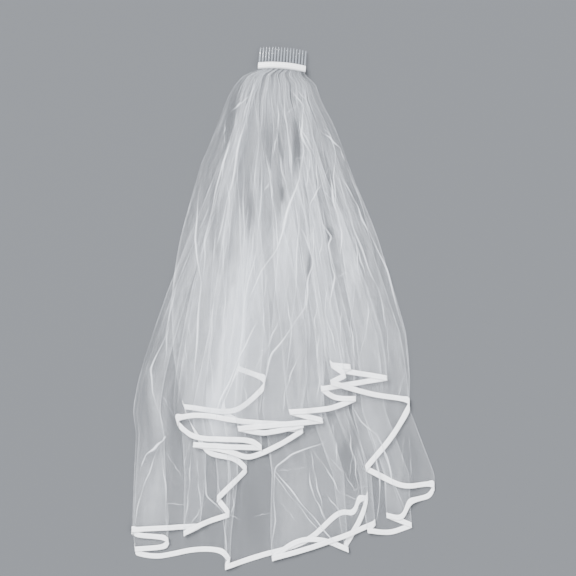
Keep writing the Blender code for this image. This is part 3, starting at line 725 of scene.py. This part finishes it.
def mesh_object(name, corners, faces, material):
    """Smooth mesh of these corners and faces, set down in the frame."""
    placed = corners + (DRAWING_X, DRAWING_Y, 0)
    mesh = bpy.data.meshes.new(name)
    mesh.from_pydata(placed.tolist(), [], faces.tolist())
    mesh.materials.append(material)
    mesh.shade_smooth()
    made = bpy.data.objects.new(name, mesh)
    bpy.context.collection.objects.link(made)
    return made


def paint(made, name, values):
    """Store one number for each point of a mesh."""
    attribute = made.data.attributes.new(name, "FLOAT", "POINT")
    attribute.data.foreach_set("value", np.asarray(values, np.float32).ravel())


def line_points(points, step):
    """Even steps along a line with softened corners through points given in millimetres."""
    corners = np.array(points, float) * MM
    length = np.concatenate([[0.0], np.cumsum(np.linalg.norm(np.diff(corners, axis=0), axis=1))])
    wanted = np.linspace(0, length[-1], max(5, round(length[-1] / step) + 1))
    line = np.column_stack([np.interp(wanted, length, corners[:, k]) for k in range(2)])
    line[1:-1] = (line[:-2] + 2 * line[1:-1] + line[2:]) / 4
    return line


def bunched(x, y):
    """How much more closely the net lies at each place."""
    change = np.zeros_like(x)
    for amount, reach, points in BUNCHES:
        line = line_points(points, CREASE_STEP)
        swell = np.sin(math.pi * np.linspace(0.08, 0.92, len(line))) ** 0.7
        most = np.zeros_like(x)
        for place, size in zip(line, swell):
            away = ((x - place[0]) ** 2 + (y - place[1]) ** 2) / (reach * MM) ** 2
            # A gap has a clearer edge than a bunch
            if amount < 0:
                away = away ** 2
            most = np.maximum(most, size * np.exp(-away))
        change += amount * most
    return change


def net_weight(points, ring, folds, gathers):
    """How dense each place of a tier looks: more where it stands steep, in its gathers and at its folds."""
    along = np.gradient(points, axis=1)
    across = np.gradient(points, axis=0)
    normal = np.cross(across, along)
    upright = np.abs(normal[..., 2]) / (np.linalg.norm(normal, axis=2) + 1e-12)
    weight = np.clip(1 / np.maximum(upright, 0.25), 1.0, 2.0)
    down = row_downs()
    weight *= THINNEST_AT_COMB + (1 - THINNEST_AT_COMB) * smooth(down / 0.75)
    streaks = np.zeros(points.shape[:2])
    for count, size, sharpness, offset in STREAKS:
        bend = 0.6 * np.sin(TAU * (1.7 * down + 3.1 * ring[:, None] + offset))
        phase = TAU * (count * gathers * ring[:, None] + bend)
        patch = 0.5 + 0.5 * np.sin(TAU * (2.3 * down[None] + 11 * ring[:, None] * count + offset))
        streaks += size * patch * (0.5 + 0.5 * np.sin(phase)) ** sharpness
    fade = 1 - 0.8 * smooth((down - 0.35) / 0.6)
    weight = weight * (1 + streaks * fade)
    offsets = np.arange(-FOLD_COLUMNS, FOLD_COLUMNS + 1)
    beside = 1 + FOLD_WHITENESS * np.exp(-(offsets / 1.1) ** 2)
    for fold in folds:
        for offset, boost in zip(offsets, beside):
            column = fold + offset
            if 0 <= column < len(weight):
                weight[column] *= boost
    return weight * np.clip(1 + bunched(points[..., 0], points[..., 1]), 0.04, 3.0)


def crease_grids(tier, pile):
    """Strips that stand up in a ridge along each crease of a tier, on the top layer there."""
    grids = []
    for number, (crease_tier, width, height, points) in enumerate(CREASES):
        if crease_tier != tier:
            continue
        line = line_points(points, CREASE_STEP)
        share = np.linspace(0, 1, len(line))
        wander = CREASE_WANDER * np.sin(TAU * (3.3 * share + 0.37 * number)) * np.sin(math.pi * share)
        side = np.column_stack([-np.gradient(line[:, 1]), np.gradient(line[:, 0])])
        side /= np.linalg.norm(side, axis=1, keepdims=True)
        line = line + side * wander[:, None]
        uneven = 0.7 + 0.3 * np.sin(TAU * (2.1 * share + 0.21 * number))
        swell = np.sin(math.pi * share) ** 0.6 * uneven
        columns = []
        for across, rise in CREASE_PROFILE:
            place = line + side * (across * width * MM / 2 * swell)[:, None]
            x, y = place[:, 0], place[:, 1]
            z = CLOTH_BASE + CREASE_LIFT + pile.height_at(x, y) + lift_at(x, y)
            z += rise * height * MM * swell
            columns.append(np.column_stack([place, z]))
        grids.append((np.stack(columns), swell, height))
    return grids


def tulle_object(name, points, weight, creases, material):
    """Tulle of a tier, up to just inside the ribbon's outer edge, with its creases."""
    cut = points.copy()
    cut[:, -1] = points[:, -1] * (1 - TULLE_TRIM) + points[:, -2] * TULLE_TRIM
    corners = [cut.reshape(-1, 3)]
    faces = [grid_faces(*cut.shape[:2])]
    weights = [weight.ravel()]
    start = cut.shape[0] * cut.shape[1]
    for grid, swell, height in creases:
        corners.append(grid.reshape(-1, 3))
        faces.append(grid_faces(*grid.shape[:2]) + start)
        start += grid.shape[0] * grid.shape[1]
        rise = np.array([row[1] for row in CREASE_PROFILE])[:, None]
        weights.append((0.05 + CREASE_WHITENESS * rise ** 1.5 * swell * height ** 1.5).ravel())
    made = mesh_object(name, np.vstack(corners), np.vstack(faces), material)
    paint(made, "layer_weight", np.concatenate(weights))
    return made


def ribbon_object(name, points, inner, material):
    """Ribbon folded over a tier's edge: a top side and an underside that meet at the hem."""
    down = row_downs()
    columns = len(points)
    hem_run = np.concatenate([[0], np.cumsum(np.linalg.norm(np.diff(points[:, -1], axis=0), axis=1))])
    short, long = PUCKER_LENGTHS
    pucker = np.sin(TAU * hem_run / short) * np.sin(TAU * hem_run / long + 1.0)
    rows = []
    for across, height in RIBBON_PROFILE:
        level = inner + (1 - inner) * across
        place = np.array([[np.interp(level[k], down, points[k, :, axis]) for axis in range(3)]
                          for k in range(columns)])
        place[:, 2] += height * RIBBON_HALF_THICKNESS
        place[:, 2] += RIBBON_PUCKER * math.sin(math.pi * across) * pucker
        rows.append(place)
    grid = np.stack(rows, axis=1)
    made = mesh_object(name, grid.reshape(-1, 3), grid_faces(*grid.shape[:2]), material)
    across = np.array([row[0] for row in RIBBON_PROFILE])
    paint(made, "across", np.broadcast_to(across, (columns, len(RIBBON_PROFILE))))
    steps = np.linalg.norm(np.diff(grid[:, HEM_COLUMN, :2], axis=0), axis=1)
    run = np.concatenate([[0], np.cumsum(steps)])
    paint(made, "run", np.broadcast_to(run[:, None], (columns, len(RIBBON_PROFILE))))
    return made


def principled(name, colour, roughness):
    """Material with its Principled shader set to a colour and roughness."""
    material = bpy.data.materials.new(name)
    material.use_nodes = True
    shader = material.node_tree.nodes["Principled BSDF"]
    shader.inputs["Base Color"].default_value = (*colour, 1.0)
    shader.inputs["Roughness"].default_value = roughness
    return material, material.node_tree, shader


def math_node(tree, operation, first, second=None):
    """Math node with its inputs linked or set."""
    node = tree.nodes.new("ShaderNodeMath")
    node.operation = operation
    for socket, value in zip(node.inputs, (first, second)):
        if value is None:
            continue
        if isinstance(value, (int, float)):
            socket.default_value = value
        else:
            tree.links.new(value, socket)
    return node.outputs[0]


def attribute_node(tree, name):
    """Number stored on the mesh under this name."""
    node = tree.nodes.new("ShaderNodeAttribute")
    node.attribute_name = name
    return node.outputs["Fac"]


def tulle_material():
    """Fine net: see-through, whiter where it stands steep, with the threads' own unevenness."""
    material, tree, shader = principled("tulle_net", TULLE_COLOUR, 0.55)
    shader.inputs["Sheen Weight"].default_value = 0.3
    shader.inputs["Sheen Roughness"].default_value = 0.4
    coordinates = tree.nodes.new("ShaderNodeTexCoord")
    net = tree.nodes.new("ShaderNodeTexVoronoi")
    net.voronoi_dimensions = "2D"
    net.feature = "DISTANCE_TO_EDGE"
    net.inputs["Scale"].default_value = NET_SCALE
    net.inputs["Randomness"].default_value = NET_RANDOMNESS
    tree.links.new(coordinates.outputs["Object"], net.inputs["Vector"])
    thread = math_node(tree, "LESS_THAN", net.outputs["Distance"], THREAD_REACH)
    cloud = tree.nodes.new("ShaderNodeTexNoise")
    cloud.inputs["Scale"].default_value = 60.0
    cloud.inputs["Detail"].default_value = 3.0
    tree.links.new(coordinates.outputs["Object"], cloud.inputs["Vector"])
    uneven = math_node(tree, "MULTIPLY_ADD", cloud.outputs["Fac"], 0.5)
    uneven.node.inputs[2].default_value = 0.75
    threads = math_node(tree, "MULTIPLY_ADD", thread, THREAD_ALPHA)
    threads.node.inputs[2].default_value = CELL_ALPHA
    one_layer = math_node(tree, "MULTIPLY", threads, uneven)
    clear = math_node(tree, "SUBTRACT", 1.0, one_layer)
    weight = attribute_node(tree, "layer_weight")
    left_clear = math_node(tree, "POWER", clear, weight)
    alpha = math_node(tree, "SUBTRACT", 1.0, left_clear)
    tree.links.new(alpha, shader.inputs["Alpha"])
    return material


def ribbon_material():
    """White satin with a fine crosswise rib and a row of stitches along its middle."""
    material, tree, shader = principled("satin_ribbon", SATIN_COLOUR, 0.32)
    shader.inputs["Sheen Weight"].default_value = 0.4
    shader.inputs["Anisotropic"].default_value = 0.5
    run = attribute_node(tree, "run")
    across = attribute_node(tree, "across")
    rib = math_node(tree, "SINE", math_node(tree, "MULTIPLY", run, TAU / (0.9 * MM)))
    from_middle = math_node(tree, "ABSOLUTE", math_node(tree, "SUBTRACT", across, 0.5))
    stitch_place = math_node(tree, "LESS_THAN", from_middle, 0.07)
    stitch_wave = math_node(tree, "SINE", math_node(tree, "MULTIPLY", run, TAU / (3.2 * MM)))
    stitch_on = math_node(tree, "GREATER_THAN", stitch_wave, -0.3)
    stitch = math_node(tree, "MULTIPLY", stitch_place, stitch_on)
    height = math_node(tree, "MULTIPLY_ADD", rib, 0.12)
    tree.links.new(math_node(tree, "MULTIPLY", stitch, 0.8), height.node.inputs[2])
    bump = tree.nodes.new("ShaderNodeBump")
    bump.inputs["Distance"].default_value = 0.25 * MM
    bump.inputs["Strength"].default_value = 0.5
    tree.links.new(height, bump.inputs["Height"])
    tree.links.new(bump.outputs["Normal"], shader.inputs["Normal"])
    mix = tree.nodes.new("ShaderNodeMix")
    mix.data_type = "RGBA"
    mix.inputs["A"].default_value = (*SATIN_COLOUR, 1.0)
    mix.inputs["B"].default_value = (*STITCH_COLOUR, 1.0)
    tree.links.new(stitch, mix.inputs["Factor"])
    tree.links.new(mix.outputs["Result"], shader.inputs["Base Color"])
    return material


def band_material():
    """Satin of the band, with soft puckers across it."""
    material, tree, shader = principled("satin_band", SATIN_COLOUR, 0.3)
    shader.inputs["Sheen Weight"].default_value = 0.4
    coordinates = tree.nodes.new("ShaderNodeTexCoord")
    wave = tree.nodes.new("ShaderNodeTexWave")
    wave.inputs["Scale"].default_value = 55.0
    wave.inputs["Distortion"].default_value = 3.0
    wave.inputs["Detail"].default_value = 2.0
    tree.links.new(coordinates.outputs["Object"], wave.inputs["Vector"])
    bump = tree.nodes.new("ShaderNodeBump")
    bump.inputs["Distance"].default_value = 0.3 * MM
    bump.inputs["Strength"].default_value = 0.35
    tree.links.new(wave.outputs["Fac"], bump.inputs["Height"])
    tree.links.new(bump.outputs["Normal"], shader.inputs["Normal"])
    return material


def comb_material():
    """Clear polished plastic."""
    material, tree, shader = principled("clear_plastic", PLASTIC_COLOUR, 0.12)
    shader.inputs["IOR"].default_value = 1.49
    shader.inputs["Alpha"].default_value = 0.3
    shader.inputs["Coat Weight"].default_value = 0.3
    shader.inputs["Coat Roughness"].default_value = 0.05
    noise = tree.nodes.new("ShaderNodeTexNoise")
    noise.inputs["Scale"].default_value = 90.0
    bump = tree.nodes.new("ShaderNodeBump")
    bump.inputs["Distance"].default_value = 0.1 * MM
    bump.inputs["Strength"].default_value = 0.15
    tree.links.new(noise.outputs["Fac"], bump.inputs["Height"])
    tree.links.new(bump.outputs["Normal"], shader.inputs["Normal"])
    return material


def bend_to_comb(work):
    """Set flat work, drawn along and up with height as z, onto the comb's bow, arch and turn."""
    for vertex in work.verts:
        along, up, height = vertex.co
        past = max(0.0, (up - WRAP_HEIGHT / 2) / TOOTH_LENGTH)
        x, y = comb_point(along, up)
        rise = float(arch_height(along)) + COMB_HEIGHT - TOOTH_DROOP * past ** 2
        vertex.co = (x + DRAWING_X, y + DRAWING_Y, height + rise)


def comb_object(material):
    """Flat spine with a row of tapering, round-ended teeth."""
    pitch = (COMB_WIDTH - TOOTH_WIDTH) / (TOOTH_COUNT - 1)
    spine_top = WRAP_HEIGHT / 2 - SPINE_INSET
    work = bmesh.new()
    bmesh.ops.create_grid(work, x_segments=2 * TOOTH_COUNT - 1, y_segments=1, size=0.5)
    columns = sorted({round(vertex.co.x, 6) for vertex in work.verts})
    for vertex in work.verts:
        tooth, side = divmod(columns.index(round(vertex.co.x, 6)), 2)
        vertex.co.x = -COMB_WIDTH / 2 + tooth * pitch + side * TOOTH_WIDTH
        vertex.co.y = spine_top if vertex.co.y > 0 else SPINE_FOOT
    upper_edges = [edge for edge in work.edges if all(vertex.co.y > 0 for vertex in edge.verts)]
    roots = [edge for edge in upper_edges if edge.calc_length() < pitch / 2]
    centres = [sum(vertex.co.x for vertex in edge.verts) / 2 for edge in roots]
    edges = roots
    for share, width in TOOTH_PROFILE:
        grown = bmesh.ops.extrude_edge_only(work, edges=edges)["geom"]
        edges = [item for item in grown if isinstance(item, bmesh.types.BMEdge)]
        for vertex in [item for item in grown if isinstance(item, bmesh.types.BMVert)]:
            centre = min(centres, key=lambda value: abs(value - vertex.co.x))
            side = 1.0 if vertex.co.x > centre else -1.0
            vertex.co.x = centre + side * width * TOOTH_WIDTH / 2
            vertex.co.y = spine_top + share * TOOTH_LENGTH
    bend_to_comb(work)
    made = finish_object("comb_clear", work, material)
    wall = made.modifiers.new("Wall", "SOLIDIFY")
    wall.thickness = COMB_THICKNESS
    wall.offset = 0.0
    wall.use_even_offset = True
    bevel = made.modifiers.new("Rounded", "BEVEL")
    bevel.width = 0.45 * MM
    bevel.segments = 3
    bevel.limit_method = "ANGLE"
    bevel.angle_limit = math.radians(50)
    return made


def band_object(material):
    """Satin band folded round the comb's spine, a little uneven where the gathers push it out."""
    work = bmesh.new()
    half = WRAP_HEIGHT / 2
    depth = WRAP_HALF_DEPTH
    profile = [(half, depth * 0.93), (half * 0.6, depth), (half * 0.5, depth * 0.9),
               (half * 0.4, depth * 1.01), (-half * 0.1, depth * 1.02), (-half * 0.2, depth * 0.91),
               (-half * 0.3, depth * 1.01), (-half * 0.45, depth), (-half * 0.8, depth * 0.82),
               (-half * 0.97, depth * 0.45), (-half, 0)]
    profile += [(up, -height) for up, height in reversed(profile[:-1])]
    rows = []
    for number in range(WRAP_STATIONS + 1):
        along = -WRAP_WIDTH / 2 + WRAP_WIDTH * number / WRAP_STATIONS
        pucker = 0.16 * MM * math.sin(1.9 * number) + 0.12 * MM * math.sin(0.83 * number + 1.1)
        swell = 1 - 0.12 * abs(2 * number / WRAP_STATIONS - 1) ** 6
        stretch = 1 + 0.01 * math.sin(0.5 * number)
        rows.append([work.verts.new((along, up * stretch, (height + math.copysign(pucker, height)) * swell))
                     for up, height in profile])
    for row, following in zip(rows, rows[1:]):
        for k in range(len(profile) - 1):
            work.faces.new((row[k], row[k + 1], following[k + 1], following[k]))
    bend_to_comb(work)
    return finish_object("band_satin", work, material)


def finish_object(name, work, material):
    """Smooth object made of the work so far."""
    bmesh.ops.recalc_face_normals(work, faces=work.faces)
    mesh = bpy.data.meshes.new(name)
    work.to_mesh(mesh)
    work.free()
    mesh.materials.append(material)
    mesh.shade_smooth()
    made = bpy.data.objects.new(name, mesh)
    bpy.context.collection.objects.link(made)
    return made


def soft_light(name, power, spread, tilt, turn):
    """Broad even light from far off, with soft shadows."""
    light = bpy.data.lights.new(name, "SUN")
    light.energy = power
    light.angle = math.radians(spread)
    lamp = bpy.data.objects.new(name, light)
    lamp.rotation_euler = (math.radians(tilt), 0, math.radians(turn))
    bpy.context.collection.objects.link(lamp)


def floor_object():
    """Plain matt floor."""
    material, _, _ = principled("floor_matt", FLOOR_COLOUR, 0.9)
    mesh = bpy.data.meshes.new("floor")
    half = FLOOR_SIZE / 2
    corners = [(-half, -half, 0), (half, -half, 0), (half, half, 0), (-half, half, 0)]
    mesh.from_pydata(corners, [], [(0, 1, 2, 3)])
    mesh.materials.append(material)
    floor = bpy.data.objects.new("floor", mesh)
    floor.location.z = -FLOOR_DROP
    bpy.context.collection.objects.link(floor)
    return floor


def set_view():
    """Camera straight above, far enough for the view's width."""
    camera = bpy.data.cameras.new("camera")
    camera.lens = LENS
    camera.sensor_width = SENSOR
    camera.clip_end = 20
    eye = bpy.data.objects.new("camera", camera)
    distance = VIEW_WIDTH * LENS / SENSOR
    eye.location = (VIEW_CENTRE[0] + DRAWING_X, VIEW_CENTRE[1] + DRAWING_Y, distance)
    bpy.context.collection.objects.link(eye)
    bpy.context.scene.camera = eye


def set_light():
    """Soft studio light from two sides in a bright room."""
    world = bpy.data.worlds.new("room")
    world.use_nodes = True
    background = world.node_tree.nodes["Background"]
    background.inputs["Color"].default_value = (*ROOM_COLOUR, 1.0)
    background.inputs["Strength"].default_value = ROOM_POWER
    bpy.context.scene.world = world
    for row in LIGHTS:
        soft_light(*row)


def main():
    """Dress the part and light it."""
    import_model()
    bpy.context.scene.cycles.transparent_max_bounces = MOST_LAYERS_SEEN
    tulle = tulle_material()
    ribbon = ribbon_material()
    floor = floor_object()
    pile = Pile()
    for tier, hem, first, gathers, base, flat, area, length in TIERS:
        points, inner, ring, folds = join_tier(lay_tier(hem, first, gathers, base, pile))
        weight = net_weight(points, ring, folds, gathers)
        cloth = tulle_object("tulle_" + tier, points, weight, crease_grids(tier, pile), tulle)
        edging = ribbon_object("ribbon_" + tier, points, inner, ribbon)
        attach(cloth, "root")
        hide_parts("tulle_" + tier + "_tier")
        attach(edging, "root")
        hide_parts("edging_" + tier + "_tier")
    comb = comb_object(comb_material())
    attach(comb, "root")
    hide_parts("comb")
    band = band_object(band_material())
    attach(band, "root")
    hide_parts("comb_wrap")
    set_view()
    set_light()


main()
